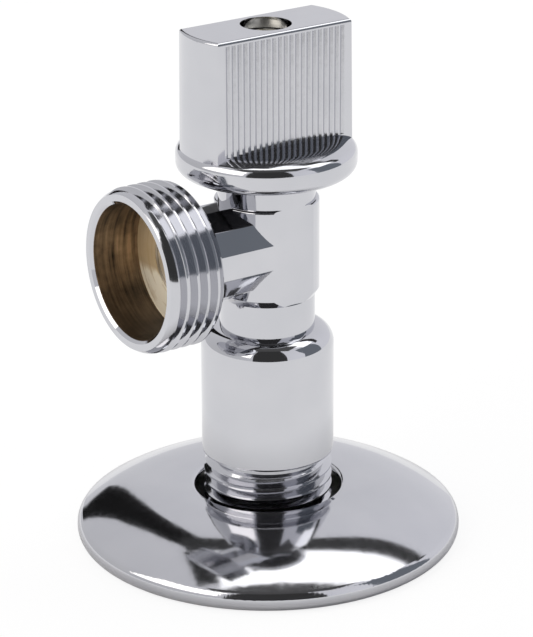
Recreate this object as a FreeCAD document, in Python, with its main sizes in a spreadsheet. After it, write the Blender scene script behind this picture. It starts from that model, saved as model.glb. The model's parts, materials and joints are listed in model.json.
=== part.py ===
"""Quarter-turn angle valve for a washing machine hose, with its loose wall flange.

Frame: millimetres, +Z up along the inlet and spindle axis, origin on the floor under that axis.
The outlet points along -Y. The valve stands on its inlet thread, and the flange lies around it.
"""
import FreeCAD, Part
import math
import os
import re
import Sketcher

# Driving sizes, in millimetres and degrees. Each one is written once, here.
SIZES = {
    # pipe threads, G 1/2 below and G 3/4 at the outlet
    "thread_pitch": 1.814,
    "thread_depth": 1.162,
    "thread_flank": 27.5,
    "thread_root_flat": 0.3,
    "inlet_thread_radius": 10.478,
    "inlet_thread_length": 14.7,
    "inlet_lead": 1.0,
    "inlet_undercut": 1.0,
    "outlet_thread_radius": 13.22,
    "outlet_thread_length": 9.9,
    "outlet_lead_length": 2.3,
    "outlet_lead_drop": 0.85,
    "outlet_lead_round": 3.5,
    # valve body outside
    "barrel_radius": 10.75,
    "barrel_length": 18.6,
    "neck_radius": 7.7,
    "block_radius": 8.4,
    "block_height": 15.0,
    "block_flare": 1.2,
    "collar_radius": 7.8,
    "collar_height": 3.9,
    "outlet_height": 50.5,
    "outlet_reach": 26.1,
    "arm_flats": 15.0,
    "arm_edge_round": 0.5,
    "casting_round": 0.4,
    # valve body inside
    "outlet_bore_radius": 10.8,
    "outlet_bore_depth": 8.6,
    "outlet_bore_chamfer": 0.5,
    "inlet_bore_radius": 7.4,
    "inlet_bore_depth": 33.0,
    "throat_radius": 4.0,
    "chamber_radius": 5.6,
    # ball, seats and retainer
    "ball_radius": 5.2,
    "port_radius": 3.2,
    "ball_slot_width": 2.6,
    "ball_slot_depth": 1.6,
    "seat_radius": 5.0,
    "seat_bore_radius": 3.5,
    "seat_front": 3.4,
    "seat_thickness": 2.2,
    "seat_gap": 0.03,
    "retainer_inset": 0.5,
    "retainer_lip": 1.2,
    "retainer_hex": 8.0,
    "retainer_hex_depth": 4.0,
    "retainer_hex_round": 0.2,
    # spindle and its seals
    "stem_radius": 3.2,
    "stem_foot_height": 1.2,
    "stem_square": 4.6,
    "stem_square_length": 13.7,
    "stem_running_gap": 0.05,
    "washer_thickness": 0.5,
    "ring_section": 0.38,
    "ring_gap": 0.01,
    "ring_groove_width": 1.1,
    "ring_groove_depth": 0.75,
    "ring_spacing": 1.7,
    "fit_gap": 0.05,
    # handle
    "handle_lift": 0.4,
    "handle_disc_radius": 14.4,
    "handle_disc_height": 5.3,
    "handle_disc_foot_round": 2.0,
    "handle_disc_rim_inset": 0.9,
    "handle_disc_rim_drop": 1.45,
    "handle_disc_crown_width": 2.9,
    "handle_disc_crown_drop": 0.7,
    "blade_radius": 13.85,
    "blade_thickness": 10.8,
    "blade_height": 18.5,
    "blade_draft": 0.7,
    "blade_edge_round": 0.55,
    "rib_pitch": 1.07,
    "rib_count": 21,
    "rib_width": 0.8,
    "rib_depth": 0.22,
    "rib_stop": 0.75,
    "screw_well_radius": 4.05,
    "screw_well_depth": 3.6,
    "screw_hole_gap": 0.2,
    "socket_headroom": 0.5,
    # handle screw
    "screw_radius": 1.5,
    "screw_length": 13.5,
    "screw_head_radius": 3.35,
    "screw_head_height": 2.5,
    "screw_head_crown": 0.8,
    "screw_cross_length": 3.8,
    "screw_cross_width": 0.85,
    "screw_cross_depth": 1.5,
    "screw_cross_draft": 8.0,
    # quarter-turn stop
    "stop_pin_radius": 0.8,
    "stop_pin_circle": 5.6,
    "stop_pin_sunk": 2.4,
    "stop_pin_stand": 2.2,
    "stop_gap": 0.2,
    "quarter_turn": 90.0,
    # wall flange
    "flange_radius": 31.5,
    "flange_height": 8.6,
    "flange_crown_radius": 13.5,
    "flange_hole_radius": 11.95,
    "flange_rim_height": 2.9,
    "flange_sheet": 1.0,
    "flange_hem": 2.2,
    "flange_rim_round": 1.9,
    "flange_foot_round": 1.7,
    "flange_lip_round": 0.7,
}

# Heights that several pieces share, as formulas on the sizes.
BARREL_TOP = "(inlet_thread_length + barrel_length)"
BLOCK_FOOT = "(outlet_height - block_height / 2)"
BLOCK_TOP = "(outlet_height + block_height / 2)"
COLLAR_TOP = f"({BLOCK_TOP} + collar_height)"
BALL_TOP = "(outlet_height + ball_radius)"
STEM_FOOT_BASE = f"({BALL_TOP} + fit_gap)"
STEM_FOOT_TOP = f"({STEM_FOOT_BASE} + stem_foot_height)"
STEM_SEAT = f"({STEM_FOOT_TOP} + washer_thickness + seat_gap)"
STEM_BORE = "(stem_radius + stem_running_gap)"
HANDLE_FOOT = f"({COLLAR_TOP} + handle_lift)"
STEM_TOP = f"({HANDLE_FOOT} + stem_square_length)"
DISC_TOP = f"({HANDLE_FOOT} + handle_disc_height)"
BLADE_TOP = f"({DISC_TOP} + blade_height)"
WELL_FLOOR = f"({BLADE_TOP} - screw_well_depth)"
SEAT_BACK = "(seat_front + seat_thickness)"
BALL_SOCKET = "(ball_radius + seat_gap)"

doc = FreeCAD.newDocument("washing_machine_valve")
sheet = doc.addObject("Spreadsheet::Sheet", "Sizes")
for row, (alias, number) in enumerate(SIZES.items(), start=1):
    sheet.set(f"A{row}", alias)
    sheet.set(f"B{row}", str(number))
    sheet.setAlias(f"B{row}", alias)
doc.recompute()


def cells(formula):
    """A formula on size names, written for the expression engine."""
    def prefix(match):
        word = match.group(0)
        return f"Sizes.{word}" if word in SIZES else word
    return re.sub(r"[a-z][a-z_]*", prefix, str(formula))


def value(formula):
    """The present number of a formula on size names."""
    result = sheet.evalExpression(cells(formula))
    return float(getattr(result, "Value", result))


def new_body(label):
    body = doc.addObject("PartDesign::Body", label)
    body.Label = label
    return body


def new_sketch(body, name, plane, up="0", out="0"):
    """A sketch on one of the body's own planes, shifted up and out of that plane."""
    sketch = body.newObject("Sketcher::SketchObject", name)
    support = next(item for item in body.Origin.OriginFeatures if item.Role == plane)
    sketch.AttachmentSupport = [(support, "")]
    sketch.MapMode = "FlatFace"
    for axis, formula in (("y", up), ("z", out)):
        sketch.setExpression(f"AttachmentOffset.Base.{axis}", cells(formula))
    return sketch


def arc_between(start, end, radius):
    """The short arc from start to end: centre on the left for a radius above zero, else on the right."""
    chord = end - start
    left = FreeCAD.Vector(-chord.y, chord.x, 0).normalize()
    rise = math.sqrt(max(radius * radius - chord.Length ** 2 / 4, 0.0))
    centre = (start + end) * 0.5 + left * math.copysign(rise, radius)
    first, last = (start, end) if radius > 0 else (end, start)
    circle = Part.Circle(centre, FreeCAD.Vector(0, 0, 1), abs(radius))
    return Part.ArcOfCircle(circle, circle.parameter(first), circle.parameter(last))


def add_outline(sketch, corners):
    """A closed outline of straight runs and arcs, each corner held by formulas.

    A corner is (x, y), or (x, y, radius) where the edge that leaves it is an arc of that radius.
    """
    points = [FreeCAD.Vector(value(corner[0]), value(corner[1]), 0) for corner in corners]
    starts = []
    ends = []
    for index, corner in enumerate(corners):
        start = points[index]
        end = points[(index + 1) % len(points)]
        if len(corner) == 3:
            radius = value(corner[2])
            edge = sketch.addGeometry(arc_between(start, end, radius), False)
            clockwise = radius < 0
            hold = sketch.addConstraint(Sketcher.Constraint("Radius", edge, abs(radius)))
            sketch.setExpression(f"Constraints[{hold}]", cells(f"abs({corner[2]})"))
        else:
            edge = sketch.addGeometry(Part.LineSegment(start, end), False)
            clockwise = False
        starts.append((edge, 2 if clockwise else 1))
        ends.append((edge, 1 if clockwise else 2))
    for index, corner in enumerate(corners):
        following = (index + 1) % len(corners)
        sketch.addConstraint(Sketcher.Constraint("Coincident", *ends[index], *starts[following]))
        for kind, axis, formula in (("DistanceX", -2, corner[0]), ("DistanceY", -1, corner[1])):
            place = value(formula)
            if formula == "0":
                sketch.addConstraint(Sketcher.Constraint("PointOnObject", *starts[index], axis))
                continue
            hold = sketch.addConstraint(Sketcher.Constraint(kind, -1, 1, *starts[index], place))
            sketch.setExpression(f"Constraints[{hold}]", cells(formula))


def add_circle(sketch, radius, across="0", up="0"):
    centre = FreeCAD.Vector(value(across), value(up), 0)
    edge = sketch.addGeometry(Part.Circle(centre, FreeCAD.Vector(0, 0, 1), value(radius)), False)
    hold = sketch.addConstraint(Sketcher.Constraint("Radius", edge, value(radius)))
    sketch.setExpression(f"Constraints[{hold}]", cells(radius))
    for kind, axis, formula in (("DistanceX", -2, across), ("DistanceY", -1, up)):
        if formula == "0":
            sketch.addConstraint(Sketcher.Constraint("PointOnObject", edge, 3, axis))
            continue
        hold = sketch.addConstraint(Sketcher.Constraint(kind, -1, 1, edge, 3, value(formula)))
        sketch.setExpression(f"Constraints[{hold}]", cells(formula))


def rectangle(left, right, bottom, top):
    return [(left, bottom), (right, bottom), (right, top), (left, top)]


def polygon(sides, flats, rounding):
    """The corners of a regular shape, from its width across the flats, with rounded corners."""
    turn_step = 360 / sides
    half_side = f"({flats} / 2 - {rounding}) * tan({turn_step / 2})"
    corners = []
    for side in range(sides):
        facing = side * turn_step
        for end, edge in ((-1, ()), (1, (rounding,))):
            across = f"{flats} / 2 * cos({facing}) - {end} * {half_side} * sin({facing})"
            up = f"{flats} / 2 * sin({facing}) + {end} * {half_side} * cos({facing})"
            corners.append((across, up, *edge))
    return corners


def turn(body, name, sketch, axis="V_Axis", cut=False):
    """A full turn of a sketch about one of its own axes, added or cut."""
    kind = "PartDesign::Groove" if cut else "PartDesign::Revolution"
    feature = body.newObject(kind, name)
    feature.Profile = sketch
    feature.ReferenceAxis = (sketch, [axis])
    feature.Angle = 360.0
    doc.recompute()
    return feature


def extrude(body, name, sketch, length, cut=False, reverse=False):
    """A sketch pushed out of its plane by a length, added or cut."""
    kind = "PartDesign::Pocket" if cut else "PartDesign::Pad"
    feature = body.newObject(kind, name)
    feature.Profile = sketch
    feature.setExpression("Length", cells(length))
    feature.Reversed = reverse
    doc.recompute()
    return feature


def round_edges(body, name, radius, chosen):
    """A fillet on every edge of the body so far that the chosen test accepts."""
    base = body.Tip
    edges = [f"Edge{number}" for number, edge in enumerate(base.Shape.Edges, start=1) if chosen(edge)]
    feature = body.newObject("PartDesign::Fillet", name)
    feature.Base = (base, edges)
    feature.setExpression("Radius", cells(radius))
    doc.recompute()
    return feature


def is_ring(edge, radius, height):
    """Whether an edge is a circle about the vertical axis with this radius and height."""
    if not isinstance(edge.Curve, Part.Circle):
        return False
    centre = edge.Curve.Center
    near = math.hypot(centre.x, centre.y) < 1e-4
    return near and abs(edge.Curve.Radius - radius) < 1e-3 and abs(centre.z - height) < 1e-3


def turned_piece(label, corners, plane="XZ_Plane", up="0", axis="V_Axis"):
    """A piece made on a lathe: one outline turned about an axis."""
    body = new_body(label)
    sketch = new_sketch(body, f"{label}_outline", plane, up=up)
    add_outline(sketch, corners)
    turn(body, f"{label}_turn", sketch, axis)
    return body


def cut_thread(body, name, plane, up, axis, radius, start, length, side=1):
    """A helical vee groove along a sketch axis, cut from start over a length."""
    root = f"({radius} - thread_depth)"
    mouth = f"({radius} + thread_depth / 2)"
    half_root = "thread_root_flat / 2"
    half_mouth = f"({half_root} + 1.5 * thread_depth * tan(thread_flank))"
    rows = [(root, f"-{half_root}"), (mouth, f"-{half_mouth}"), (mouth, half_mouth), (root, half_root)]
    corners = []
    for distance, shift in rows:
        place = f"{start} + {shift}"
        away = f"{side} * {distance}"
        corners.append((away, place) if axis == "V_Axis" else (place, away))
    sketch = new_sketch(body, f"{name}_tooth", plane, up=up)
    add_outline(sketch, corners)
    feature = body.newObject("PartDesign::SubtractiveHelix", name)
    feature.Profile = sketch
    feature.ReferenceAxis = (sketch, [axis])
    feature.Mode = "pitch-height-angle"
    feature.setExpression("Pitch", cells("thread_pitch"))
    feature.setExpression("Height", cells(length))
    feature.Angle = 0.0
    feature.LeftHanded = False
    doc.recompute()
    return feature


def make_valve_body():
    """One brass casting: threaded inlet, barrel, neck, block with flats, collar, arm and outlet."""
    body = new_body("valve_body")

    upright = new_sketch(body, "upright_outline", "XZ_Plane")
    undercut_foot = "inlet_thread_length - inlet_undercut"
    root = "(inlet_thread_radius - thread_depth)"
    shoulder = "(barrel_radius - neck_radius)"
    flare = "(block_radius - neck_radius)"
    add_outline(upright, [
        ("0", "0"),
        ("inlet_thread_radius - inlet_lead", "0"),
        ("inlet_thread_radius", "inlet_lead"),
        ("inlet_thread_radius", f"{undercut_foot} - thread_depth"),
        (root, undercut_foot),
        (root, "inlet_thread_length"),
        ("barrel_radius - casting_round", "inlet_thread_length", "casting_round"),
        ("barrel_radius", "inlet_thread_length + casting_round"),
        ("barrel_radius", BARREL_TOP, shoulder),
        ("neck_radius", f"{BARREL_TOP} + {shoulder}"),
        ("neck_radius", f"{BLOCK_FOOT} - block_flare"),
        ("block_radius", BLOCK_FOOT),
        ("block_radius", f"{BLOCK_TOP} - casting_round", "casting_round"),
        ("block_radius - casting_round", BLOCK_TOP),
        ("collar_radius", BLOCK_TOP),
        ("collar_radius", COLLAR_TOP),
        ("0", COLLAR_TOP),
    ])
    turn(body, "upright", upright)

    flats = new_sketch(body, "flats_outline", "XY_Plane", out=f"{BLOCK_FOOT} - block_flare")
    outside = "2 * block_radius"
    add_outline(flats, rectangle("arm_flats / 2", outside, f"-{outside}", outside))
    add_outline(flats, rectangle(f"-{outside}", "-arm_flats / 2", f"-{outside}", outside))
    extrude(body, "flats", flats, "block_height + block_flare", cut=True, reverse=True)

    prism = new_sketch(body, "arm_outline", "XZ_Plane", up="outlet_height")
    add_outline(prism, polygon(12, "arm_flats", "arm_edge_round"))
    extrude(body, "arm", prism, "outlet_reach - outlet_thread_length + casting_round")

    spout = new_sketch(body, "spout_outline", "YZ_Plane", up="outlet_height")
    mouth = "-outlet_reach"
    spout_back = "(outlet_thread_length - outlet_reach)"
    add_outline(spout, [
        (mouth, "0"),
        (spout_back, "0"),
        (spout_back, "outlet_thread_radius - thread_depth"),
        (f"{spout_back} - thread_depth", "outlet_thread_radius"),
        ("outlet_lead_length - outlet_reach", "outlet_thread_radius", "outlet_lead_round"),
        (mouth, "outlet_thread_radius - outlet_lead_drop"),
    ])
    turn(body, "spout", spout, "H_Axis")

    waterway = new_sketch(body, "waterway_outline", "YZ_Plane", up="outlet_height")
    floor = "outlet_bore_depth - outlet_reach"
    pocket = "(seat_radius + fit_gap)"
    sphere_end = f"sqrt(chamber_radius^2 - {pocket}^2)"
    add_outline(waterway, [
        (mouth, "0"),
        (SEAT_BACK, "0"),
        (SEAT_BACK, pocket),
        (sphere_end, pocket, "chamber_radius"),
        ("0", "chamber_radius"),
        (floor, "chamber_radius"),
        (floor, "outlet_bore_radius"),
        ("outlet_bore_chamfer - outlet_reach", "outlet_bore_radius"),
        (mouth, "outlet_bore_radius + outlet_bore_chamfer"),
    ])
    turn(body, "waterway", waterway, "H_Axis", cut=True)

    bore = new_sketch(body, "bore_outline", "XZ_Plane")
    add_outline(bore, [
        ("0", "0"),
        ("inlet_bore_radius", "0"),
        ("inlet_bore_radius", "inlet_bore_depth"),
        ("throat_radius", "inlet_bore_depth + inlet_bore_radius - throat_radius"),
        ("throat_radius", STEM_SEAT),
        (STEM_BORE, STEM_SEAT),
        (STEM_BORE, COLLAR_TOP),
        ("0", COLLAR_TOP),
    ])
    turn(body, "bore", bore, cut=True)

    pin_hole = new_sketch(body, "pin_hole_outline", "XY_Plane", out=COLLAR_TOP)
    across = "stop_pin_circle * cos(quarter_turn / 2)"
    add_circle(pin_hole, "stop_pin_radius", f"-{across}", across)
    extrude(body, "pin_hole", pin_hole, "stop_pin_sunk", cut=True)

    cut_thread(body, "inlet_thread", "XZ_Plane", "0", "V_Axis", "inlet_thread_radius",
               "-thread_pitch", "inlet_thread_length - inlet_undercut / 2 + thread_pitch")
    cut_thread(body, "outlet_thread", "YZ_Plane", "outlet_height", "H_Axis", "outlet_thread_radius",
               "(outlet_lead_length - thread_pitch - outlet_reach)",
               "outlet_thread_length + thread_pitch", side=-1)
    return body


def make_seat(label, facing):
    """A soft ring that bears on the ball, in front of the retainer or at the back of the chamber."""
    def along(distance):
        return f"{facing} * ({distance})"
    front_radius = f"sqrt({BALL_SOCKET}^2 - seat_front^2)"
    bore_depth = f"sqrt({BALL_SOCKET}^2 - seat_bore_radius^2)"
    socket = f"{-facing} * {BALL_SOCKET}"
    return turned_piece(label, [
        (along(bore_depth), "seat_bore_radius"),
        (along(SEAT_BACK), "seat_bore_radius"),
        (along(SEAT_BACK), "seat_radius"),
        (along("seat_front"), "seat_radius"),
        (along("seat_front"), front_radius, socket),
    ], "YZ_Plane", "outlet_height", "H_Axis")


def make_seat_retainer():
    """Threaded brass bush, screwed in from the outlet with a hexagon key, that holds the front seat."""
    outer = "(chamber_radius - fit_gap)"
    face = "(outlet_bore_depth + retainer_inset - outlet_reach)"
    body = turned_piece("seat_retainer", [
        (face, "seat_bore_radius"),
        (f"-{SEAT_BACK}", "seat_bore_radius"),
        (f"-{SEAT_BACK}", "seat_radius + fit_gap"),
        (f"-{SEAT_BACK} + retainer_lip", "seat_radius + fit_gap"),
        (f"-{SEAT_BACK} + retainer_lip", outer),
        (face, outer),
    ], "YZ_Plane", "outlet_height", "H_Axis")
    key = new_sketch(body, "key_outline", "XZ_Plane", up="outlet_height", out=f"-{face}")
    add_outline(key, polygon(6, "retainer_hex", "retainer_hex_round"))
    extrude(body, "key", key, "retainer_hex_depth", cut=True)
    return body


def make_ball():
    """Brass ball with an elbow port: always open below, and open at one side."""
    body = new_body("ball")
    half = new_sketch(body, "ball_outline", "XZ_Plane", up="outlet_height")
    add_outline(half, [
        ("0", "-ball_radius", "ball_radius"),
        ("ball_radius", "0", "ball_radius"),
        ("0", "ball_radius"),
    ])
    turn(body, "ball_turn", half)
    slot = new_sketch(body, "slot_outline", "XY_Plane", out=BALL_TOP)
    add_outline(slot, rectangle("-ball_slot_width / 2", "ball_slot_width / 2",
                                "-ball_radius", "ball_radius"))
    extrude(body, "slot", slot, "ball_slot_depth", cut=True)
    side_port = new_sketch(body, "side_port_outline", "XZ_Plane", up="outlet_height", out="ball_radius")
    add_circle(side_port, "port_radius")
    extrude(body, "side_port", side_port, "ball_radius", cut=True)
    foot_port = new_sketch(body, "foot_port_outline", "XY_Plane", out="outlet_height - ball_radius")
    add_circle(foot_port, "port_radius")
    extrude(body, "foot_port", foot_port, "ball_radius", cut=True, reverse=True)
    return body


def ring_heights():
    """Mid-heights of the two spindle seals, about the middle of the spindle's bore."""
    middle = f"(({STEM_SEAT} + {COLLAR_TOP}) / 2)"
    return [f"({middle} - ring_spacing / 2)", f"({middle} + ring_spacing / 2)"]


def make_stem():
    """Brass spindle: a tang in the ball, a foot that can't blow out, two seal grooves and a square."""
    groove_radius = "stem_radius - ring_groove_depth"
    foot_radius = "(throat_radius - fit_gap)"
    outline = [
        ("0", STEM_FOOT_BASE),
        (foot_radius, STEM_FOOT_BASE),
        (foot_radius, STEM_FOOT_TOP),
        ("stem_radius", STEM_FOOT_TOP),
    ]
    for height in ring_heights():
        outline += [
            ("stem_radius", f"{height} - ring_groove_width / 2"),
            (groove_radius, f"{height} - ring_groove_width / 2"),
            (groove_radius, f"{height} + ring_groove_width / 2"),
            ("stem_radius", f"{height} + ring_groove_width / 2"),
        ]
    outline += [("stem_radius", STEM_TOP), ("0", STEM_TOP)]
    body = turned_piece("stem", outline)

    sides = new_sketch(body, "square_outline", "XY_Plane", out=STEM_TOP)
    outside = "2 * stem_radius"
    square = "stem_square / 2"
    add_outline(sides, rectangle(f"-{outside}", outside, f"-{outside}", outside))
    add_outline(sides, rectangle(f"-{square}", square, f"-{square}", square))
    extrude(body, "square", sides, "stem_square_length", cut=True)

    tang = new_sketch(body, "tang_outline", "XY_Plane", out=STEM_FOOT_BASE)
    half_width = "(ball_slot_width / 2 - fit_gap)"
    sweep = f"(min({foot_radius}; seat_front) - fit_gap)"
    half_length = f"sqrt({sweep}^2 - {half_width}^2)"
    add_outline(tang, rectangle(f"-{half_width}", half_width, f"-{half_length}", half_length))
    extrude(body, "tang", tang, "ball_slot_depth - fit_gap", reverse=True)

    tapped = new_sketch(body, "tapped_outline", "XY_Plane", out=STEM_TOP)
    add_circle(tapped, "screw_radius")
    extrude(body, "tapped", tapped, f"{STEM_TOP} - {WELL_FLOOR} + screw_length + socket_headroom", cut=True)
    return body


def make_thrust_washer():
    return turned_piece("thrust_washer", rectangle(
        "stem_radius + fit_gap", "throat_radius - fit_gap", STEM_FOOT_TOP, f"{STEM_SEAT} - seat_gap"))


def make_stem_ring(label, height):
    """Rubber ring of round section in one of the spindle's grooves."""
    body = new_body(label)
    section = new_sketch(body, f"{label}_section", "XZ_Plane")
    add_circle(section, "ring_section", "stem_radius - ring_groove_depth + ring_section + ring_gap", height)
    turn(body, f"{label}_turn", section)
    return body


def make_handle():
    """Die-cast grip: a round foot, a ribbed blade cut from a cylinder, and a well for the screw."""
    body = new_body("handle")
    rim_top = f"({DISC_TOP} - handle_disc_crown_drop)"
    blade_foot = f"({rim_top} - handle_disc_rim_drop)"
    blade_reach = f"{BLADE_TOP} - {blade_foot}"
    blade = new_sketch(body, "blade_outline", "XY_Plane", out=blade_foot)
    add_circle(blade, "blade_radius")
    grip = extrude(body, "blade", blade, blade_reach)
    grip.setExpression("TaperAngle", cells("-blade_draft"))
    sides = new_sketch(body, "blade_sides_outline", "XY_Plane", out=blade_foot)
    face = "blade_thickness / 2"
    outside = "2 * blade_radius"
    add_outline(sides, rectangle(face, outside, f"-{outside}", outside))
    add_outline(sides, rectangle(f"-{outside}", f"-{face}", f"-{outside}", outside))
    extrude(body, "blade_sides", sides, blade_reach, cut=True, reverse=True)

    rim_edge = "(handle_disc_radius - handle_disc_rim_inset)"
    rim_round = "(handle_disc_rim_inset^2 + handle_disc_rim_drop^2) / (2 * handle_disc_rim_inset)"
    crown_round = "(handle_disc_crown_width^2 + handle_disc_crown_drop^2) / (2 * handle_disc_crown_drop)"
    foot = new_sketch(body, "foot_outline", "XZ_Plane")
    add_outline(foot, [
        ("0", HANDLE_FOOT),
        ("handle_disc_radius - handle_disc_foot_round", HANDLE_FOOT, "handle_disc_foot_round"),
        ("handle_disc_radius", f"{HANDLE_FOOT} + handle_disc_foot_round"),
        ("handle_disc_radius", blade_foot, rim_round),
        (rim_edge, rim_top, crown_round),
        (f"{rim_edge} - handle_disc_crown_width", DISC_TOP),
        ("0", DISC_TOP),
    ])
    turn(body, "foot", foot)

    top = value(BLADE_TOP)
    disc_top = value(DISC_TOP)
    round_edges(body, "blade_rounding", "blade_edge_round",
                lambda edge: edge.BoundBox.ZMax > top - 1e-3 and edge.BoundBox.ZMin > disc_top - 1e-3)

    rib = new_sketch(body, "rib_outline", "XY_Plane", out=f"{BLADE_TOP} - rib_stop")
    first = "((1 - rib_count) / 2 * rib_pitch)"
    for side in (1, -1):
        add_outline(rib, [
            (f"{side} * ({face} - rib_depth)", first),
            (f"{side} * ({face} + rib_depth)", f"{first} - rib_width"),
            (f"{side} * ({face} + rib_depth)", f"{first} + rib_width"),
        ])
    groove = extrude(body, "rib", rib, "blade_height - rib_stop", cut=True)
    ribs = body.newObject("PartDesign::LinearPattern", "ribs")
    ribs.Originals = [groove]
    ribs.Direction = (rib, ["V_Axis"])
    ribs.setExpression("Length", cells("(rib_count - 1) * rib_pitch"))
    ribs.setExpression("Occurrences", cells("rib_count"))
    body.Tip = ribs
    doc.recompute()

    well = new_sketch(body, "well_outline", "XY_Plane", out=BLADE_TOP)
    add_circle(well, "screw_well_radius")
    extrude(body, "well", well, "screw_well_depth", cut=True)
    screw_hole = new_sketch(body, "screw_hole_outline", "XY_Plane", out=WELL_FLOOR)
    add_circle(screw_hole, "screw_radius + screw_hole_gap")
    extrude(body, "screw_hole", screw_hole, f"{WELL_FLOOR} - {STEM_TOP}", cut=True)
    socket = new_sketch(body, "socket_outline", "XY_Plane", out=HANDLE_FOOT)
    half = "(stem_square / 2 + fit_gap)"
    add_outline(socket, rectangle(f"-{half}", half, f"-{half}", half))
    extrude(body, "socket", socket, "stem_square_length + socket_headroom", cut=True, reverse=True)

    track = new_sketch(body, "stop_track_outline", "XZ_Plane")
    room = "(stop_pin_radius + stop_gap)"
    add_outline(track, rectangle(f"-stop_pin_circle - {room}", f"-stop_pin_circle + {room}",
                                 HANDLE_FOOT, f"{COLLAR_TOP} + stop_pin_stand + stop_gap"))
    stop_track = turn(body, "stop_track", track, cut=True)
    stop_track.Midplane = True
    stop_track.setExpression("Angle", cells(f"quarter_turn * 1 deg + 2 * asin({room} / stop_pin_circle)"))
    doc.recompute()
    return body


def make_handle_screw():
    """Pan-head screw with a cross recess, sunk in the well on top of the handle."""
    head_top = f"({WELL_FLOOR} + screw_head_height)"
    crown_radius = "(screw_head_radius^2 + screw_head_crown^2) / (2 * screw_head_crown)"
    body = turned_piece("handle_screw", [
        ("0", f"{WELL_FLOOR} - screw_length"),
        ("screw_radius", f"{WELL_FLOOR} - screw_length"),
        ("screw_radius", WELL_FLOOR),
        ("screw_head_radius", WELL_FLOOR),
        ("screw_head_radius", f"{head_top} - screw_head_crown", crown_radius),
        ("0", head_top),
    ])
    cross = new_sketch(body, "cross_outline", "XY_Plane", out=head_top)
    tip = "screw_cross_length / 2"
    waist = "screw_cross_width / 2"
    add_outline(cross, [
        (tip, f"-{waist}"), (tip, waist), (waist, waist), (waist, tip),
        (f"-{waist}", tip), (f"-{waist}", waist), (f"-{tip}", waist), (f"-{tip}", f"-{waist}"),
        (f"-{waist}", f"-{waist}"), (f"-{waist}", f"-{tip}"), (waist, f"-{tip}"), (waist, f"-{waist}"),
    ])
    recess = extrude(body, "cross", cross, "screw_cross_depth", cut=True)
    recess.setExpression("TaperAngle", cells("-screw_cross_draft"))
    doc.recompute()
    return body


def make_stop_pin():
    body = new_body("stop_pin")
    section = new_sketch(body, "stop_pin_outline", "XY_Plane", out=f"{COLLAR_TOP} - stop_pin_sunk")
    across = "stop_pin_circle * cos(quarter_turn / 2)"
    add_circle(section, "stop_pin_radius", f"-{across}", across)
    extrude(body, "stop_pin_rod", section, "stop_pin_sunk + stop_pin_stand")
    return body


def make_wall_flange():
    """Pressed sheet dome, level at its crown and rolled in to a hem at its rim, loose around the inlet."""
    run = "(flange_radius - flange_crown_radius)"
    rise = "(flange_height - flange_rim_height)"
    dome = f"(({run}^2 + {rise}^2) / (2 * {rise}))"
    inner = f"({dome} - flange_sheet)"
    hem_in = "(flange_radius - flange_hem)"

    def height_at(radius, dome_radius):
        return f"(flange_height - {dome} + sqrt({dome_radius}^2 - ({radius} - flange_crown_radius)^2))"

    lip = height_at("flange_hole_radius", dome)
    body = turned_piece("wall_flange", [
        (hem_in, "0"),
        ("flange_radius", "0"),
        ("flange_radius", "flange_rim_height", dome),
        ("flange_hole_radius", lip),
        ("flange_hole_radius", height_at("flange_hole_radius", inner), f"-{inner}"),
        (hem_in, height_at(hem_in, inner)),
    ])
    radius = value("flange_radius")
    rim_height = value("flange_rim_height")
    hole = value("flange_hole_radius")
    height = value(lip)
    round_edges(body, "rim_rounding", "flange_rim_round", lambda edge: is_ring(edge, radius, rim_height))
    round_edges(body, "foot_rounding", "flange_foot_round", lambda edge: is_ring(edge, radius, 0.0))
    round_edges(body, "lip_rounding", "flange_lip_round", lambda edge: is_ring(edge, hole, height))
    return body


pieces = [
    make_valve_body(),
    make_seat("outlet_seat", -1),
    make_seat("back_seat", 1),
    make_seat_retainer(),
    make_ball(),
    make_stem(),
    make_thrust_washer(),
    make_stem_ring("stem_ring_lower", ring_heights()[0]),
    make_stem_ring("stem_ring_upper", ring_heights()[1]),
    make_handle(),
    make_handle_screw(),
    make_stop_pin(),
    make_wall_flange(),
]
doc.recompute()

for item in doc.Objects:
    if {"Invalid", "Error"} & set(item.State):
        raise RuntimeError(f"{item.Label} failed: {item.State}")
for piece in pieces:
    shape = piece.Shape
    if shape.isNull() or not shape.isValid() or len(shape.Solids) != 1:
        raise RuntimeError(f"{piece.Label} is not one valid solid")

os.makedirs("parts", exist_ok=True)
for piece in pieces:
    piece.Shape.exportStep(f"parts/{piece.Label}.step")
    box = piece.Shape.BoundBox
    print(f"{piece.Label}: {piece.Shape.Volume:.1f} mm3, z {box.ZMin:.2f} to {box.ZMax:.2f}")
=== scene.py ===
# %% [markdown]
# # A chromed angle valve in a white light tent
# This lesson dresses a quarter-turn angle valve for a washing machine hose. The valve is already built to
# size as solid pieces, so the work here is its finish: mirror chrome over cast brass, bare turned brass
# inside, zinc-plated steel, white sealing rings and black rubber. The first cell loads those pieces as a
# fixed frame.

# %% Load the pieces
import json
import math

import bpy
from mathutils import Matrix, Vector


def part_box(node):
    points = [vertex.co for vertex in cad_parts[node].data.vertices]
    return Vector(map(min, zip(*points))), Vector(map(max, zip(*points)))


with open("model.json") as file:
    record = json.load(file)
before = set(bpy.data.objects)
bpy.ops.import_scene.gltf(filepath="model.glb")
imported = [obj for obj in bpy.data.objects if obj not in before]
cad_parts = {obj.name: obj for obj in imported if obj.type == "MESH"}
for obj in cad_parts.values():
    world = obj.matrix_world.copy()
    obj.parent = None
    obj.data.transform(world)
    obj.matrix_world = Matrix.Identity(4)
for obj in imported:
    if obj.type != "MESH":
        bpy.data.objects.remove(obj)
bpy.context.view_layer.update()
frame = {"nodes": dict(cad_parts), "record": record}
pieces = frame["nodes"]

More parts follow.
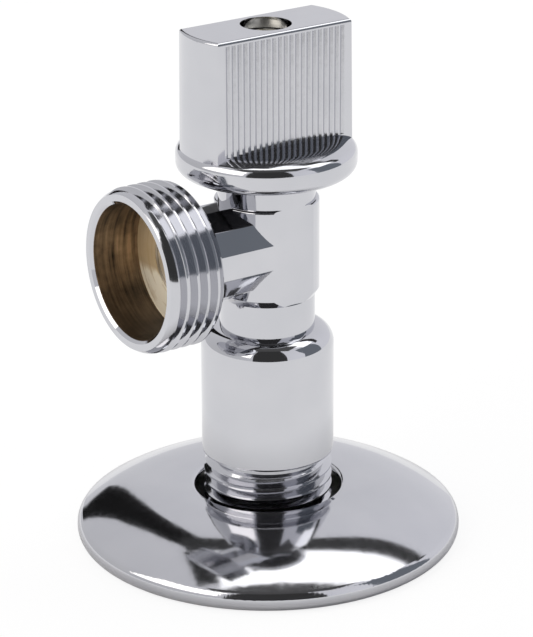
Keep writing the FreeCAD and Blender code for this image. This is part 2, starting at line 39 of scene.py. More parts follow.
# %% [markdown]
# ## Camera
# The valve is seen from its outlet side, a little from above, through a long lens, so upright edges stay
# nearly parallel. A camera can be aimed with a constraint, but three axes written as a matrix say exactly
# where it stands, and the picture's small roll is one more turn of two of them.

# %% Camera
IMAGE_LONG_SIDE_PX = 637
FOCAL_LENGTH_PX = 2794.0
SENSOR_MM = 36.0
CAMERA_AZIMUTH = math.radians(55.6)
CAMERA_ELEVATION = math.radians(21.35)
CAMERA_ROLL = math.radians(0.28)
CAMERA_DISTANCE = 0.450
CAMERA_AIM = Vector((0.0, 0.0, 0.0371))
CAMERA_SIDE_STEP = -0.00011
CAMERA_CLIP_START = 0.01

to_camera = Vector((math.sin(CAMERA_AZIMUTH), -math.cos(CAMERA_AZIMUTH), 0.0))
to_right = Vector((math.cos(CAMERA_AZIMUTH), math.sin(CAMERA_AZIMUTH), 0.0))
backward = to_camera * math.cos(CAMERA_ELEVATION) + Vector((0.0, 0.0, math.sin(CAMERA_ELEVATION)))
upward = backward.cross(to_right)
rolled_right = to_right * math.cos(CAMERA_ROLL) - upward * math.sin(CAMERA_ROLL)
rolled_up = to_right * math.sin(CAMERA_ROLL) + upward * math.cos(CAMERA_ROLL)

camera_data = bpy.data.cameras.new("long_lens")
camera_data.sensor_width = SENSOR_MM
camera_data.lens = FOCAL_LENGTH_PX * SENSOR_MM / IMAGE_LONG_SIDE_PX
camera_data.clip_start = CAMERA_CLIP_START
camera = bpy.data.objects.new("camera", camera_data)
turn = Matrix((rolled_right, rolled_up, backward)).transposed().to_4x4()
eye = CAMERA_AIM + to_right * CAMERA_SIDE_STEP + backward * CAMERA_DISTANCE
camera.matrix_world = Matrix.Translation(eye) @ turn
bpy.context.scene.collection.objects.link(camera)
bpy.context.scene.camera = camera
print("camera with a lens of", round(camera_data.lens, 1), "mm")

# %% [markdown]
# ## Helpers for materials
# A finish is a small tree of nodes. One function turns a colour as a painter writes it, in hex, into the
# linear values that light is added up in. One function adds any node, with its settings and its links, so
# a finish reads as a list of what feeds what. Clicking the same trees together in the editor would work
# too, but a script can be read, compared and run again.

# %% Colour and node helpers
MM = 0.001


def linear(hex_colour):
    """The linear RGBA of an sRGB colour such as #C8C8CC."""
    values = []
    for start in (1, 3, 5):
        part = int(hex_colour[start:start + 2], 16) / 255
        values.append(part / 12.92 if part <= 0.04045 else ((part + 0.055) / 1.055) ** 2.4)
    return (*values, 1.0)


def add_node(tree, kind, inputs=None, **settings):
    """A new node; an input is a plain value, or the socket that feeds it."""
    node = tree.nodes.new(kind)
    for name, setting in settings.items():
        setattr(node, name, setting)
    for socket, source in (inputs or {}).items():
        if isinstance(source, bpy.types.NodeSocket):
            tree.links.new(source, node.inputs[socket])
        else:
            node.inputs[socket].default_value = source
    return node


def new_material(name):
    """An empty material and its tree."""
    material = bpy.data.materials.new(name)
    material.use_nodes = True
    material.node_tree.nodes.clear()
    return material, material.node_tree


def show(tree, shader):
    """Sends a shader to the surface."""
    add_node(tree, "ShaderNodeOutputMaterial", {"Surface": shader})


def dress(name, material):
    """Gives one piece its finish in place of the plain one that it was loaded with."""
    piece = pieces[name]
    piece.data.materials.clear()
    piece.data.materials.append(material)


print("helpers ready")

# %% [markdown]
# ## Mottled colour
# No made surface has one flat colour: plating clouds, cast metal has grain, rubber blooms. Painting that
# by hand would need an image. A noise pattern between two close colours does it without one, and its
# scale comes from the real size of a patch, so that the grain is as fine on a small piece as on a large
# one.

# %% Mottled colour


def per_mm(size_mm):
    """The texture scale at which one cell of a pattern is this many millimetres wide."""
    return 1.0 / (size_mm * MM)


def mottle(tree, place, patch_mm, detail, dark, pale):
    """A colour that drifts between two hex colours in patches, and the pattern that it follows."""
    pattern = add_node(tree, "ShaderNodeTexNoise",
                       {"Vector": place, "Scale": per_mm(patch_mm), "Detail": detail}).outputs["Fac"]
    tint = add_node(tree, "ShaderNodeMix", {0: pattern, 6: linear(dark), 7: linear(pale)}, data_type="RGBA")
    return tint.outputs[2], pattern


print("mottle ready")

# %% [markdown]
# ## Chrome plate
# Bright chrome is a skin of chromium, under a thousandth of a millimetre thick, over nickel on polished
# metal. It reflects a little over half of the light, with a faintly cool tint, and it shows the shape
# under it: a cast and buffed surface has shallow waves, a few millimetres long, that bend straight
# reflections slightly. A flat mirror shader would look like computer chrome. So colour and roughness
# change only a little, and the life comes from a very shallow bump.

# %% Chrome nodes
CHROME_LIGHT = "#CFCFD3"
CHROME_DEEP = "#C3C4C9"
CHROME_CLOUD_MM = 9.0
CHROME_CLOUD_DETAIL = 2.0
CHROME_WAVE_MM = 5.0
CHROME_WAVE_DETAIL = 1.0
# Buffing marks are finer than this; they are drawn as coarse as they need to show.
CHROME_POLISH_MM = 0.9
CHROME_POLISH_DETAIL = 3.0
BEST_POLISH_AT = 0.3
WORST_POLISH_AT = 0.7


def chrome_shader(tree, place, wave_height_mm, best_roughness, worst_roughness):
    """A plated mirror: cloudy tint, buffing haze and shallow waves."""
    tint, _ = mottle(tree, place, CHROME_CLOUD_MM, CHROME_CLOUD_DETAIL, CHROME_DEEP, CHROME_LIGHT)
    haze = add_node(tree, "ShaderNodeTexNoise", {"Vector": place, "Scale": per_mm(CHROME_POLISH_MM),
                    "Detail": CHROME_POLISH_DETAIL})
    roughness = add_node(tree, "ShaderNodeMapRange",
                         {"Value": haze.outputs["Fac"],
                          "From Min": BEST_POLISH_AT, "From Max": WORST_POLISH_AT,
                          "To Min": best_roughness, "To Max": worst_roughness})
    wave = add_node(tree, "ShaderNodeTexNoise", {"Vector": place, "Scale": per_mm(CHROME_WAVE_MM),
                    "Detail": CHROME_WAVE_DETAIL})
    bump = add_node(tree, "ShaderNodeBump",
                    {"Height": wave.outputs["Fac"], "Strength": 1.0, "Distance": wave_height_mm * MM})
    return add_node(tree, "ShaderNodeBsdfPrincipled",
                    {"Base Color": tint, "Metallic": 1.0, "Roughness": roughness.outputs["Result"],
                     "Normal": bump.outputs["Normal"]})


def hazier(tree, chrome, mask, haze):
    """Adds roughness to a chrome shader where a mask is 1, as where a buffing wheel doesn't reach."""
    polish = chrome.inputs["Roughness"].links[0].from_socket
    dulled = add_node(tree, "ShaderNodeMath", {0: mask, 1: haze, 2: polish}, operation="MULTIPLY_ADD")
    tree.links.new(dulled.outputs[0], chrome.inputs["Roughness"])


print("chrome waves every", CHROME_WAVE_MM, "mm")

# %% [markdown]
# ## Bare brass
# Plating doesn't reach far into a bore, so the waterways keep the colour of cut brass. A drill leaves
# fine rings around the bore, and the metal tarnishes to brown. A wave texture would draw rings that are
# too regular. Noise that is long around the axis and short along it looks cut by a tool; it is drawn
# coarser than real tool marks, so that it shows. Tarnish is half a metal and half a dull skin, so the
# shader is as well.

# %% Brass nodes
BRASS_TARNISH_DARK = "#261D14"
BRASS_TARNISH_PALE = "#D2B490"
BRASS_FRESH_DARK = "#C8AC80"
BRASS_FRESH_PALE = "#FFF3DA"
BRASS_TARNISHED_METAL = 0.45
TOOL_RING_MM = 0.7
TOOL_RINGS_PER_RADIAN = 0.8
TOOL_RING_DETAIL = 4.0
TOOL_RING_DEPTH_MM = 0.05
TOOL_RING_STRENGTH = 0.5
TARNISH_MM = 6.0
TARNISH_DETAIL = 5.0
TARNISH_BREAK_UP = 0.6
TARNISH_DARKEST_AT = 0.12
TARNISH_PALEST_AT = 0.40


def brass_shader(tree, along, around, place, dark, pale, roughness, metal=BRASS_TARNISHED_METAL, painted_light=1.0):
    """Cut brass: along is a place on the axis, around an angle in radians; the last argument scales the pale
    metal as painted light and shade.
    """
    unrolled = add_node(tree, "ShaderNodeCombineXYZ", {"X": along, "Y": around})
    stretch = (per_mm(TOOL_RING_MM), TOOL_RINGS_PER_RADIAN, 1.0)
    scaled = add_node(tree, "ShaderNodeVectorMath", {0: unrolled.outputs[0], 1: stretch},
                      operation="MULTIPLY")
    rings = add_node(tree, "ShaderNodeTexNoise",
                     {"Vector": scaled.outputs[0], "Scale": 1.0, "Detail": TOOL_RING_DETAIL})
    stain = add_node(tree, "ShaderNodeTexNoise", {"Vector": place, "Scale": per_mm(TARNISH_MM),
                     "Detail": TARNISH_DETAIL, "Roughness": TARNISH_BREAK_UP})
    stained_rings = add_node(tree, "ShaderNodeMath", {0: rings.outputs["Fac"], 1: stain.outputs["Fac"]},
                             operation="MULTIPLY")
    share = add_node(tree, "ShaderNodeMapRange",
                     {"Value": stained_rings.outputs[0],
                      "From Min": TARNISH_DARKEST_AT, "From Max": TARNISH_PALEST_AT})
    # The pale share is scaled here, which paints light and shade where a caller asks for it.
    bright = add_node(tree, "ShaderNodeMath", {0: share.outputs["Result"], 1: painted_light}, operation="MULTIPLY")
    tint = add_node(tree, "ShaderNodeMix", {0: bright.outputs[0], 6: linear(dark), 7: linear(pale)},
                    data_type="RGBA")
    bump = add_node(tree, "ShaderNodeBump", {"Height": rings.outputs["Fac"], "Strength": TOOL_RING_STRENGTH,
                    "Distance": TOOL_RING_DEPTH_MM * MM})
    return add_node(tree, "ShaderNodeBsdfPrincipled",
                    {"Base Color": tint.outputs[2], "Metallic": metal, "Roughness": roughness,
                     "Normal": bump.outputs["Normal"]})


print("brass rings every", TOOL_RING_MM, "mm")

# %% [markdown]
# ## Where a finish starts and ends
# The valve's finishes change along clear lines: at the mouth of a bore, at the end of a thread. They
# could be painted as masks or cut as face groups, but the shape itself tells where they are. A point lies
# in a bore when it is closer to the bore's axis than the wall is. Masks worked out from the piece's own
# coordinates are sharp at any distance and follow the piece in every pose.

# %% Masks
ACROSS_Y = (1, 0, 1)
ACROSS_Z = (1, 1, 0)
FLOOR_CENTRE = (0, 0, 0)


def radius_about(tree, place, origin, across):
    """The distance from an axis, and the way out from it: across is 1 for the two directions across it."""
    moved = add_node(tree, "ShaderNodeVectorMath", {0: place, 1: origin}, operation="SUBTRACT")
    flat = add_node(tree, "ShaderNodeVectorMath", {0: moved.outputs[0], 1: across}, operation="MULTIPLY")
    length = add_node(tree, "ShaderNodeVectorMath", {0: flat.outputs[0]}, operation="LENGTH")
    return length.outputs["Value"], flat.outputs[0]


def where_smaller(tree, *pairs):
    """A mask: 1 where the first of every pair is smaller than the second, and 0 elsewhere."""
    mask = None
    for first, second in pairs:
        test = add_node(tree, "ShaderNodeMath", {0: first, 1: second}, operation="LESS_THAN").outputs[0]
        if mask is not None:
            test = add_node(tree, "ShaderNodeMath", {0: mask, 1: test}, operation="MULTIPLY").outputs[0]
        mask = test
    return mask


print("masks ready")

# %% [markdown]
# ## Valve body
# The body is one brass casting, machined, then plated outside and bare inside. Threads are cut and can't
# be buffed, so their chrome is a little hazier. Inside the outlet the wall is brown, with painted shade
# that darkens it above and below the axis, and the floor has painted shade in its upper part and painted
# light in its lower part. One material with masks keeps the casting one piece, as it is in reality.

# %% Sizes of the body's finishes
body_low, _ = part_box("valve_body")
mounts = {mount["name"]: mount for mount in frame["record"]["mounts"]}
OUTLET_HEIGHT = mounts["outlet_bore"]["pos_m"][2]
OUTLET_CENTRE = (0, 0, OUTLET_HEIGHT)
OUTLET_BORE = mounts["outlet_bore"]["dims"]["r_mm"] * MM
OUTLET_BORE_FLOOR = body_low.y + 8.6 * MM
OUTLET_FACE_EDGE = 11.8 * MM
OUTLET_THREAD_END = body_low.y + 9.8 * MM
INLET_BORE = 7.4 * MM
INLET_BORE_TOP = 37.0 * MM
INLET_THREAD_END = 14.6 * MM
EDGE_OF_PLATE = 0.06 * MM
print("outlet bore of", round(OUTLET_BORE / MM, 2), "mm radius stays bare brass")

# %% Chromed brass casting
# The waves' height in mm, then the roughness where the buffing was best and where it was worst.
CASTING_WAVE_MM = 0.004
CASTING_BEST_POLISH = 0.035
CASTING_WORST_POLISH = 0.075
THREAD_HAZE = 0.045
BORE_ROUGHNESS = 0.42
# Painted shade on the outlet wall: darker above and below the axis, at its darkest this far off it.
WALL_FULL_PAINTED_SHADE_AT = 10.5 * MM
# How much of the pale metal shows, as painted light and shade: past 1 the palest rings are all pale.
WALL_PAINTED_LIT_SHARE = 1.3
WALL_PAINTED_SHADE_SHARE = 0.1
# Painted light on the bore floor: pale below these heights, with painted shade above them.
FLOOR_PAINTED_LIGHT_AT = OUTLET_HEIGHT - 4.2 * MM
FLOOR_PAINTED_SHADE_AT = OUTLET_HEIGHT - 2.6 * MM
FLOOR_PAINTED_LIGHT_SHARE = 2.4
FLOOR_PAINTED_SHADE_SHARE = 0.2
FLOOR_ROUGHNESS = 0.32
FLOOR_METAL = 0.05


def casting_chrome(tree, place, axes, outlet_radius):
    """The plated outside, hazier on both threads."""
    chrome = chrome_shader(tree, place, CASTING_WAVE_MM, CASTING_BEST_POLISH, CASTING_WORST_POLISH)
    on_outlet = where_smaller(tree, (axes["Y"], OUTLET_THREAD_END), (OUTLET_FACE_EDGE, outlet_radius))
    on_inlet = where_smaller(tree, (axes["Z"], INLET_THREAD_END))
    on_thread = add_node(tree, "ShaderNodeMath", {0: on_outlet, 1: on_inlet}, operation="MAXIMUM")
    hazier(tree, chrome, on_thread.outputs[0], THREAD_HAZE)
    return chrome


def outlet_brass(tree, place, axes, outlet_radius, outward):
    """The outlet's bare bore: a brown wall with painted shade above and below, and a floor with painted
    light below.
    """
    angle = add_node(tree, "ShaderNodeMath", {0: outward["X"], 1: outward["Z"]}, operation="ARCTAN2")
    around = angle.outputs[0]
    off_axis = add_node(tree, "ShaderNodeMath", {0: outward["Z"]}, operation="ABSOLUTE")
    # Painted shade: the wall grows darker above and below the axis.
    wall_painted_shade = add_node(tree, "ShaderNodeMapRange", {"Value": off_axis.outputs[0], "From Max": WALL_FULL_PAINTED_SHADE_AT,
                      "To Min": WALL_PAINTED_LIT_SHARE, "To Max": WALL_PAINTED_SHADE_SHARE})
    wall = brass_shader(tree, axes["Y"], around, place, BRASS_TARNISH_DARK, BRASS_TARNISH_PALE,
                        BORE_ROUGHNESS, painted_light=wall_painted_shade.outputs["Result"])
    # Painted light: the floor is pale low down, with painted shade higher up.
    floor_painted_light = add_node(tree, "ShaderNodeMapRange",
                     {"Value": axes["Z"], "From Min": FLOOR_PAINTED_LIGHT_AT, "From Max": FLOOR_PAINTED_SHADE_AT,
                      "To Min": FLOOR_PAINTED_LIGHT_SHARE, "To Max": FLOOR_PAINTED_SHADE_SHARE})
    floor = brass_shader(tree, outlet_radius, around, place, BRASS_FRESH_DARK, BRASS_FRESH_PALE,
                         FLOOR_ROUGHNESS, metal=FLOOR_METAL, painted_light=floor_painted_light.outputs["Result"])
    on_wall = where_smaller(tree, (axes["Y"], OUTLET_BORE_FLOOR - EDGE_OF_PLATE))
    return add_node(tree, "ShaderNodeMixShader", {0: on_wall, 1: floor.outputs[0], 2: wall.outputs[0]})


def chromed_brass_casting():
    # Chrome over buffed cast brass gives a cold, slightly wavy mirror.
    # Cut brass inside gives a warm, dull brown.
    material, tree = new_material("chrome_plated_cast_brass")
    place = add_node(tree, "ShaderNodeTexCoord").outputs["Object"]
    axes = add_node(tree, "ShaderNodeSeparateXYZ", {"Vector": place}).outputs
    outlet_radius, outlet_flat = radius_about(tree, place, OUTLET_CENTRE, ACROSS_Y)
    inlet_radius, _ = radius_about(tree, place, FLOOR_CENTRE, ACROSS_Z)
    outward = add_node(tree, "ShaderNodeSeparateXYZ", {"Vector": outlet_flat}).outputs
    around_inlet = add_node(tree, "ShaderNodeMath", {0: axes["X"], 1: axes["Y"]}, operation="ARCTAN2")
    in_outlet = where_smaller(tree, (outlet_radius, OUTLET_BORE + EDGE_OF_PLATE),
                              (axes["Y"], OUTLET_BORE_FLOOR + EDGE_OF_PLATE))
    in_inlet = where_smaller(tree, (inlet_radius, INLET_BORE + EDGE_OF_PLATE), (axes["Z"], INLET_BORE_TOP))

    chrome = casting_chrome(tree, place, axes, outlet_radius)
    outlet = outlet_brass(tree, place, axes, outlet_radius, outward)
    inlet = brass_shader(tree, axes["Z"], around_inlet.outputs[0], place,
                         BRASS_TARNISH_DARK, BRASS_TARNISH_PALE, BORE_ROUGHNESS)
    upper = add_node(tree, "ShaderNodeMixShader",
                     {0: in_outlet, 1: chrome.outputs[0], 2: outlet.outputs[0]})
    whole = add_node(tree, "ShaderNodeMixShader", {0: in_inlet, 1: upper.outputs[0], 2: inlet.outputs[0]})
    show(tree, whole.outputs[0])
    return material


dress("valve_body", chromed_brass_casting())
print("valve body is dressed")

# %% [markdown]
# ## Handle
# The handle is die-cast zinc with the same chrome, hazier between its ribs, and its underside is left raw,
# with painted shade that darkens it nearly to black. Cast faces lean a few degrees, so that a casting leaves
# its mould. The solid's ribbed faces stand upright, so a bump that only tilts them a little makes them
# mirror the tent above, not the foot below.

# %% Chromed zinc
handle_low, handle_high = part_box("handle")
ZINC_WAVE_MM = 0.003
ZINC_BEST_POLISH = 0.06
ZINC_WORST_POLISH = 0.11
RIB_ROOT = 5.0 * MM
RIB_REACH = 11.4 * MM
RIB_FOOT = handle_low.z + 5.35 * MM
RIB_TOP = handle_high.z - 0.7 * MM
RIB_HAZE = 0.04
FACE_DRAFT = 0.085
HANDLE_FOOT_RADIUS = 12.4 * MM
HANDLE_FOOT_SKIN = 0.3 * MM
# Painted shade: the raw zinc underside is coloured nearly black for the shade under the handle.
RAW_ZINC_PAINTED_SHADE_DARK = "#2B2B2D"
RAW_ZINC_PAINTED_SHADE_PALE = "#48484A"
RAW_ZINC_METAL = 0.6
RAW_ZINC_ROUGHNESS = 0.55
# The grain of a casting is finer than this; it is drawn as coarse as it needs to show.
GRAIN_MM = 0.5
CAST_GRAIN_DETAIL = 6.0


def rib_chrome(tree, place, axes):
    """Chrome that is hazier and leans back on the ribbed faces."""
    chrome = chrome_shader(tree, place, ZINC_WAVE_MM, ZINC_BEST_POLISH, ZINC_WORST_POLISH)
    mirrored = add_node(tree, "ShaderNodeVectorMath", {0: place}, operation="ABSOLUTE")
    sides = add_node(tree, "ShaderNodeSeparateXYZ", {"Vector": mirrored.outputs[0]}).outputs
    on_ribs = where_smaller(tree, (RIB_ROOT, sides["X"]), (sides["Y"], RIB_REACH),
                            (RIB_FOOT, axes["Z"]), (axes["Z"], RIB_TOP))
    hazier(tree, chrome, on_ribs, RIB_HAZE)
    waves = chrome.inputs["Normal"].links[0].from_socket
    lean = add_node(tree, "ShaderNodeMath", {0: axes["Z"], 1: -FACE_DRAFT}, operation="MULTIPLY")
    leaning = add_node(tree, "ShaderNodeBump", {"Height": lean.outputs[0], "Strength": on_ribs,
                       "Distance": 1.0, "Normal": waves})
    tree.links.new(leaning.outputs["Normal"], chrome.inputs["Normal"])
    return chrome


def chromed_zinc():
    # Chrome over die-cast zinc is a softer mirror than over brass; raw zinc below is a grainy grey darkened
    # by painted shade.
    material, tree = new_material("chrome_plated_die_cast_zinc")
    place = add_node(tree, "ShaderNodeTexCoord").outputs["Object"]
    axes = add_node(tree, "ShaderNodeSeparateXYZ", {"Vector": place}).outputs
    radius, _ = radius_about(tree, place, FLOOR_CENTRE, ACROSS_Z)
    # The underside mask: the raw zinc that it selects carries painted shade.
    underneath = where_smaller(tree, (axes["Z"], handle_low.z + HANDLE_FOOT_SKIN),
                               (radius, HANDLE_FOOT_RADIUS))
    chrome = rib_chrome(tree, place, axes)
    tint, _ = mottle(tree, place, GRAIN_MM, CAST_GRAIN_DETAIL, RAW_ZINC_PAINTED_SHADE_DARK, RAW_ZINC_PAINTED_SHADE_PALE)
    raw_zinc_painted_shade = add_node(tree, "ShaderNodeBsdfPrincipled",
                   {"Base Color": tint, "Metallic": RAW_ZINC_METAL, "Roughness": RAW_ZINC_ROUGHNESS})
    whole = add_node(tree, "ShaderNodeMixShader", {0: underneath, 1: chrome.outputs[0], 2: raw_zinc_painted_shade.outputs[0]})
    show(tree, whole.outputs[0])
    return material


dress("handle", chromed_zinc())
print("handle is dressed")

# %% [markdown]
# ## Wall flange
# The flange is pressed from thin sheet. Little chrome reaches its hollow underside, which keeps a dull wash
# of nickel. Two materials on face groups would do it, but one mask keeps the sheet one piece: whether a spot
# faces down is read from the normal, and the rolled hem counts as outside.

# %% Chromed sheet
SHEET_WAVE_MM = 0.004
SHEET_BEST_POLISH = 0.07
SHEET_WORST_POLISH = 0.11
NICKEL_WASH_DARK = "#8B887F"
NICKEL_WASH_PALE = "#A9A69C"
NICKEL_WASH_ROUGHNESS = 0.42
FACING_DOWN = -0.02
HEM_INSIDE = 29.4 * MM


def chromed_sheet():
    # Chrome over pressed steel gives long soft reflections; the nickel wash below is a dull, warm grey.
    material, tree = new_material("chrome_plated_pressed_steel")
    coordinates = add_node(tree, "ShaderNodeTexCoord").outputs
    place = coordinates["Object"]
    facing = add_node(tree, "ShaderNodeSeparateXYZ", {"Vector": coordinates["Normal"]}).outputs
    radius, _ = radius_about(tree, place, FLOOR_CENTRE, ACROSS_Z)
    underneath = where_smaller(tree, (facing["Z"], FACING_DOWN), (radius, HEM_INSIDE))
    chrome = chrome_shader(tree, place, SHEET_WAVE_MM, SHEET_BEST_POLISH, SHEET_WORST_POLISH)
    tint, _ = mottle(tree, place, GRAIN_MM, CAST_GRAIN_DETAIL, NICKEL_WASH_DARK, NICKEL_WASH_PALE)
    dull = add_node(tree, "ShaderNodeBsdfPrincipled",
                    {"Base Color": tint, "Metallic": 1.0, "Roughness": NICKEL_WASH_ROUGHNESS})
    whole = add_node(tree, "ShaderNodeMixShader", {0: underneath, 1: chrome.outputs[0], 2: dull.outputs[0]})
    show(tree, whole.outputs[0])
    return material


dress("wall_flange", chromed_sheet())
print("flange is dressed")

# %% [markdown]
# ## Screw and stop pin
# Both are steel with a thin coat of zinc, which is brighter than chrome, slightly yellow and finely
# frosted. The frost is a shallow bump on the same grain that tints it, drawn coarser than the real
# crystals so that it shows.

# %% Zinc-plated steel
ZINC_COAT_DARK = "#B9B7AD"
ZINC_COAT_PALE = "#E3E0D3"
ZINC_COAT_DETAIL = 5.0
ZINC_COAT_ROUGHNESS = 0.42
FROST_STRENGTH = 0.4
FROST_DEPTH_MM = 0.02


def zinc_plated_steel():
    # Electroplated zinc gives a bright satin that never mirrors sharply.
    material, tree = new_material("zinc_plated_steel")
    place = add_node(tree, "ShaderNodeTexCoord").outputs["Object"]
    tint, grain = mottle(tree, place, GRAIN_MM, ZINC_COAT_DETAIL, ZINC_COAT_DARK, ZINC_COAT_PALE)
    frost = add_node(tree, "ShaderNodeBump",
                     {"Height": grain, "Strength": FROST_STRENGTH, "Distance": FROST_DEPTH_MM * MM})
    steel = add_node(tree, "ShaderNodeBsdfPrincipled",
                     {"Base Color": tint, "Metallic": 1.0, "Roughness": ZINC_COAT_ROUGHNESS,
                      "Normal": frost.outputs["Normal"]})
    show(tree, steel.outputs[0])
    return material


zinc_coat = zinc_plated_steel()
for name in ("handle_screw", "stop_pin"):
    dress(name, zinc_coat)
print("screw and pin are dressed")

# %% [markdown]
# ## Inner brass and ball
# Inside sit a turned brass bush, a turned brass spindle and a chromed ball, and the outlet lets one look at
# the bush. Lathe marks run around each piece's own axis, so the same brass is wrapped about that axis. The
# ball is hard-chromed and lapped, which leaves it nearly without waves and a little hazy from its seats.

# %% Turned brass and chromed ball
TURNED_ROUGHNESS = 0.3
BALL_WAVE_MM = 0.001
BALL_BEST_POLISH = 0.08
BALL_WORST_POLISH = 0.14


def turned_brass(name, origin, across, axis, second):
    """Brass turned about an axis; second is the other direction across it, next to X."""
    # Clean cut brass gives a pale yellow with fine rings.
    material, tree = new_material(name)
    place = add_node(tree, "ShaderNodeTexCoord").outputs["Object"]
    axes = add_node(tree, "ShaderNodeSeparateXYZ", {"Vector": place}).outputs
    radius, flat = radius_about(tree, place, origin, across)
    spread = add_node(tree, "ShaderNodeMath", {0: radius, 1: axes[axis]}, operation="ADD")
    outward = add_node(tree, "ShaderNodeSeparateXYZ", {"Vector": flat}).outputs
    around = add_node(tree, "ShaderNodeMath", {0: outward["X"], 1: outward[second]}, operation="ARCTAN2")
    brass = brass_shader(tree, spread.outputs[0], around.outputs[0], place,
                         BRASS_FRESH_DARK, BRASS_FRESH_PALE, TURNED_ROUGHNESS)
    show(tree, brass.outputs[0])
    return material


def chromed_ball():
    # Hard chrome lapped on a sphere gives a smooth mirror with a light veil.
    material, tree = new_material("hard_chromed_brass_ball")
    place = add_node(tree, "ShaderNodeTexCoord").outputs["Object"]
    show(tree, chrome_shader(tree, place, BALL_WAVE_MM, BALL_BEST_POLISH, BALL_WORST_POLISH).outputs[0])
    return material


dress("seat_retainer", turned_brass("turned_brass_bush", OUTLET_CENTRE, ACROSS_Y, "Y", "Z"))
dress("stem", turned_brass("turned_brass_spindle", FLOOR_CENTRE, ACROSS_Z, "Z", "Y"))
dress("ball", chromed_ball())
print("retainer, spindle and ball are dressed")

# %% [markdown]
# ## Seats and rings
# The seats and the washer are moulded PTFE, which is white and waxy. The rings are nitrile rubber with a
# dull bloom. Both are plain plastics to the eye, so one function makes them: a soft mottle, and the same
# mottle as a fine grain. The rubber's grain is drawn coarser than it is, so that it shows.

# %% PTFE and rubber
PTFE_WHITE = "#ECEBE6"
PTFE_SHADE = "#DAD8D0"
PTFE_MOTTLE_MM = 1.5
PTFE_ROUGHNESS = 0.45
RUBBER_BLACK = "#151515"
RUBBER_BLOOM = "#2A2A2A"
RUBBER_GRAIN_MM = 0.3
RUBBER_ROUGHNESS = 0.6
MOULDED_DETAIL = 4.0
MOULDED_GRAIN_STRENGTH = 0.5
MOULDED_GRAIN_DEPTH_MM = 0.02


def moulded(name, dark, pale, patch_mm, roughness):
    """A dull plastic or rubber with a soft mottle and a fine grain."""
    material, tree = new_material(name)
    place = add_node(tree, "ShaderNodeTexCoord").outputs["Object"]
    tint, pattern = mottle(tree, place, patch_mm, MOULDED_DETAIL, dark, pale)
    grain = add_node(tree, "ShaderNodeBump", {"Height": pattern, "Strength": MOULDED_GRAIN_STRENGTH,
                     "Distance": MOULDED_GRAIN_DEPTH_MM * MM})
    dull = add_node(tree, "ShaderNodeBsdfPrincipled",
                    {"Base Color": tint, "Roughness": roughness, "Normal": grain.outputs["Normal"]})
    show(tree, dull.outputs[0])
    return material


# Moulded PTFE gives a soft white with a waxy sheen.
ptfe = moulded("moulded_ptfe", PTFE_SHADE, PTFE_WHITE, PTFE_MOTTLE_MM, PTFE_ROUGHNESS)
for name in ("outlet_seat", "back_seat", "thrust_washer"):
    dress(name, ptfe)
# Moulded rubber gives a matt black with a grey bloom.
rubber = moulded("moulded_nitrile_rubber", RUBBER_BLACK, RUBBER_BLOOM, RUBBER_GRAIN_MM, RUBBER_ROUGHNESS)
for name in ("stem_ring_lower", "stem_ring_upper"):
    dress(name, rubber)
print("seats and rings are dressed")

# %% [markdown]
# ## Paper floor
# The valve stands on white paper. Lighting paper until it renders pure white would burn out the valve, so
# for the camera and in reflections it glows by itself and keeps only a share of its true shading. Under
# the flange that share rises to all of it, and in reflections it does so a little beyond the rim as well,
# so the shadow stays.

# %% Paper floor
FLOOR_SIZE = 6.0
PAPER_WHITE = "#F2F2F2"
PAPER_GLOW_COLOUR = "#FFFFFF"
PAPER_GLOW = 1.07
PAPER_SHADED_SHARE = 0.18
UNDER_FLANGE = 23 * MM
SHADOW_REACH = 25 * MM
_, flange_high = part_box("wall_flange")


def white_paper():
    # Uncoated paper gives an even white without any shine.
    material, tree = new_material("white_paper")
    place = add_node(tree, "ShaderNodeTexCoord").outputs["Object"]
    paths = add_node(tree, "ShaderNodeLightPath").outputs
    seen = paths["Is Camera Ray"]
    for kind in ("Is Glossy Ray", "Is Transmission Ray"):
        seen = add_node(tree, "ShaderNodeMath", {0: seen, 1: paths[kind]}, operation="MAXIMUM").outputs[0]
    radius, _ = radius_about(tree, place, FLOOR_CENTRE, ACROSS_Z)
    mirrored = add_node(tree, "ShaderNodeMapRange",
                        {"Value": radius,
                         "From Min": flange_high.x, "From Max": flange_high.x + SHADOW_REACH,
                         "To Min": 1.0, "To Max": PAPER_SHADED_SHARE})
    direct = add_node(tree, "ShaderNodeMapRange",
                      {"Value": radius, "From Min": UNDER_FLANGE, "From Max": flange_high.x,
                       "To Min": 1.0, "To Max": PAPER_SHADED_SHARE}, interpolation_type="SMOOTHSTEP")
    shaded = add_node(tree, "ShaderNodeMix", {0: paths["Is Camera Ray"], 2: mirrored.outputs["Result"],
                      3: direct.outputs["Result"]})
    paper = add_node(tree, "ShaderNodeBsdfDiffuse", {"Color": linear(PAPER_WHITE)})
    glow = add_node(tree, "ShaderNodeEmission",
                    {"Color": linear(PAPER_GLOW_COLOUR), "Strength": PAPER_GLOW})
    pale = add_node(tree, "ShaderNodeMixShader",
                    {0: shaded.outputs[0], 1: glow.outputs[0], 2: paper.outputs[0]})
    whole = add_node(tree, "ShaderNodeMixShader", {0: seen, 1: paper.outputs[0], 2: pale.outputs[0]})
    show(tree, whole.outputs[0])
    return material


bpy.ops.mesh.primitive_plane_add(size=FLOOR_SIZE)
paper_floor = bpy.context.object
paper_floor.name = "paper_floor"
paper_floor.data.materials.append(white_paper())
print("paper floor of", FLOOR_SIZE, "m")

# %% [markdown]
# ## Light tent
# Chrome has no colour of its own: it shows the room. A tent of white cloth gives the even pale grey of
# its upright faces, a little darker on the left. A photographed studio would be an image; a world with
# one blend of two greys from left to right is enough, because cards give everything else.

# %% Light tent
TENT_LEFT = "#D6D6D8"
TENT_RIGHT = "#F5F5FA"
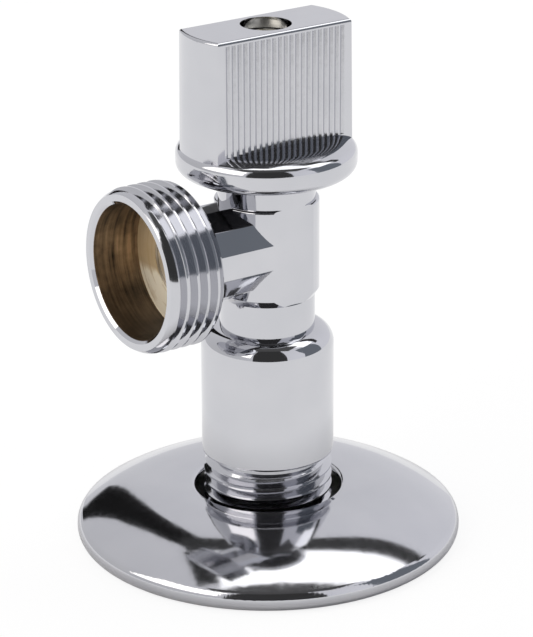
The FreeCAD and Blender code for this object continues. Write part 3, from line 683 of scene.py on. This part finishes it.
# How far to the right a direction points: -1 is straight left, 1 is straight right.
CLOTH_DARKEST_AT = -1.0
CLOTH_PALEST_AT = 0.8

tent = bpy.data.worlds.new("light_tent")
tent.use_nodes = True
cloth = tent.node_tree
towards = add_node(cloth, "ShaderNodeTexCoord").outputs["Generated"]
rightness = add_node(cloth, "ShaderNodeVectorMath", {0: towards, 1: to_right}, operation="DOT_PRODUCT")
pale_share = add_node(cloth, "ShaderNodeMapRange", {"Value": rightness.outputs["Value"],
                      "From Min": CLOTH_DARKEST_AT, "From Max": CLOTH_PALEST_AT})
grey = add_node(cloth, "ShaderNodeMix", {0: pale_share.outputs["Result"], 6: linear(TENT_LEFT),
                7: linear(TENT_RIGHT)}, data_type="RGBA")
cloth.links.new(grey.outputs[2], cloth.nodes["Background"].inputs["Color"])
bpy.context.scene.world = tent
bpy.context.scene.view_settings.view_transform = "Standard"
print("tent from", TENT_LEFT, "to", TENT_RIGHT)

# %% [markdown]
# ## Softboxes and dark cards
# Two softboxes give the white shapes in the chrome, and dark cards, which photographers call flags, give
# the hard dark bands that make it read as chrome. Lamps would light the valve but show no shape in it, so
# each is a flat card that glows, more or less. Cards lie level over the valve or stand around it, far
# outside the picture, and never show to the camera itself. Their places are metres from the valve: to the
# right, to the front and up.

# %% Cards
TENT_CENTRE = Vector((0.0, 0.0, 0.04))


def from_valve(right, front, up):
    """A point of the studio, in metres from the valve along the camera's right, its side and up."""
    return TENT_CENTRE + to_right * right + to_camera * front + Vector((0.0, 0.0, up))


def card(name, corners, strength, colour="#FFFFFF"):
    """A flat card through four corners that glows with a colour; a dark one has a strength near zero."""
    mesh = bpy.data.meshes.new(name)
    mesh.from_pydata([from_valve(*corner) for corner in corners], [], [(0, 1, 2, 3)])
    material, tree = new_material(name + "_card")
    glow = add_node(tree, "ShaderNodeEmission", {"Color": linear(colour), "Strength": strength})
    show(tree, glow.outputs[0])
    mesh.materials.append(material)
    board = bpy.data.objects.new(name, mesh)
    board.visible_camera = False
    bpy.context.scene.collection.objects.link(board)


def overhead(name, left, right, back, front, up, strength):
    """A level card over the valve."""
    card(name, [(left, back, up), (right, back, up), (right, front, up), (left, front, up)], strength)


def upright(name, azimuth, width, bottom, top, distance, **glow):
    """A card that stands around the valve: azimuth and width in degrees, from the camera to the right."""
    left = math.radians(azimuth - width / 2)
    right = math.radians(azimuth + width / 2)
    corners = []
    for angle, up in ((left, bottom), (right, bottom), (right, top), (left, top)):
        corners.append((distance * math.sin(angle), distance * math.cos(angle), up))
    card(name, corners, **glow)


overhead("softbox", left=-0.30, right=1.22, back=-0.60, front=0.10, up=1.2, strength=2.0)
overhead("back_flag", left=-0.45, right=1.70, back=-0.92, front=-0.63, up=1.2, strength=0.05)
overhead("left_edge_flag", left=-0.47, right=-0.31, back=-0.62, front=-0.05, up=1.2, strength=0.03)
FRONT_FLAG_CORNERS = [(-0.50, 0.04, 1.15), (0.70, -0.09, 1.15), (0.70, 0.6, 1.15), (-0.50, 0.6, 1.15)]
card("front_flag", FRONT_FLAG_CORNERS, strength=0.10)
upright("camera_side_flag", azimuth=4, width=58, bottom=-0.03, top=2.6, distance=1.0, strength=0.05)
upright("left_softbox", azimuth=-59, width=58, bottom=0.45, top=1.95, distance=1.5, strength=2.4,
        colour="#FFFBF6")
upright("left_flag", azimuth=-155, width=12.5, bottom=0.13, top=2.2, distance=1.5, strength=0.01)
upright("dark_wall", azimuth=84, width=42, bottom=-0.03, top=1.55, distance=1.5, strength=0.24,
        colour="#E9F2FF")
print("two softboxes and six dark cards are up")
